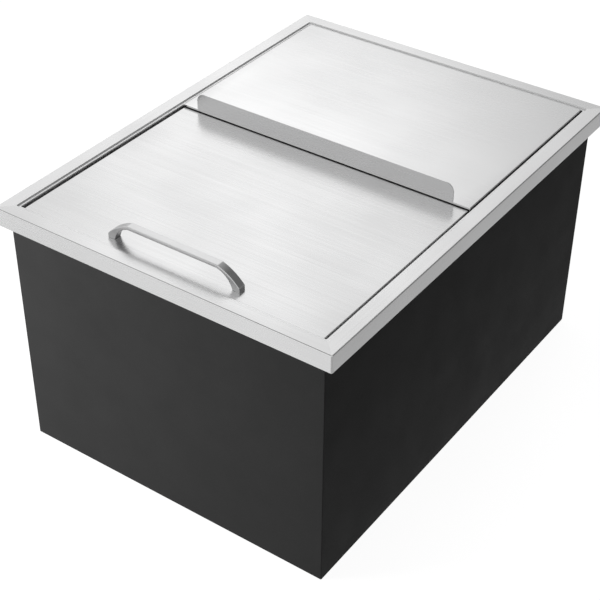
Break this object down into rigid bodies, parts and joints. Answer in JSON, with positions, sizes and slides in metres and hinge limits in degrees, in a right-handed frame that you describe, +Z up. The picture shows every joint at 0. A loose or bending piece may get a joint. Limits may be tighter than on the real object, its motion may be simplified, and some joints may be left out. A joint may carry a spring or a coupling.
{
  "type": "drop-in ice bin",
  "caption": "Insulated drop-in ice bin: a black boxed steel tub under a wide folded rim, with a sliding front lid, a lift-off rear lid and a floor drain.",
  "frame": {"origin": "centre of the bin's base, on the surface that it stands on", "axes": "+X runs across the front to the right, +Y from the handle end to the rear, +Z up"},
  "size_m": [0.457, 0.61, 0.356],
  "materials": {
    "brushed_steel": "fine brushed stainless, satin",
    "polished_steel": "polished stainless",
    "liner_steel": "plain mill stainless",
    "black_paint": "matte black coating",
    "zinc_plate": "zinc plated steel",
    "foam": "rigid insulating foam",
    "nylon": "smooth black nylon",
    "rubber": "soft matte black rubber",
    "fibre": "pressed fibre"
  },
  "bodies": {
    "bin": {"top_frame": "brushed_steel", "inner_liner": "liner_steel", "casing_wrap": "black_paint", "rear_panel": "black_paint", "bottom_pan": "black_paint", "rear_rivet_1": "zinc_plate", "rear_rivet_2": "zinc_plate", "rear_rivet_3": "zinc_plate", "rear_rivet_4": "zinc_plate", "rear_rivet_5": "zinc_plate", "rear_rivet_6": "zinc_plate", "rear_rivet_7": "zinc_plate", "rear_rivet_8": "zinc_plate", "rear_rivet_9": "zinc_plate", "rear_rivet_10": "zinc_plate", "front_insulation": "foam", "rear_insulation": "foam", "left_insulation": "foam", "right_insulation": "foam", "bottom_insulation": "foam", "left_slide_rail": "liner_steel", "right_slide_rail": "liner_steel", "left_glide_strip": "nylon", "right_glide_strip": "nylon", "drain_body": "polished_steel", "drain_gasket": "rubber", "drain_washer": "fibre", "drain_locknut": "zinc_plate", "drain_strainer": "polished_steel"},
    "sliding_lid": {"front_lid": "brushed_steel", "lid_handle": "polished_steel", "handle_washer_left": "zinc_plate", "handle_washer_right": "zinc_plate", "handle_screw_left": "zinc_plate", "handle_screw_right": "zinc_plate"},
    "rear_cover": {"rear_lid": "brushed_steel", "rear_lid_left_flange": "brushed_steel", "rear_lid_right_flange": "brushed_steel"},
    "stopper": {"drain_plug": "rubber"}
  },
  "joints": [
    {"name": "front_lid_slide", "type": "slide", "parent": "bin", "child": "sliding_lid", "axis": [0, 1, 0], "range_m": [0, 0.263]},
    {"name": "rear_lid_lift", "type": "slide", "parent": "bin", "child": "rear_cover", "axis": [0, 0, 1], "range_m": [0, 0.08]},
    {"name": "drain_plug_lift", "type": "slide", "parent": "bin", "child": "stopper", "axis": [0, 0, 1], "range_m": [0, 0.04]}
  ]
}
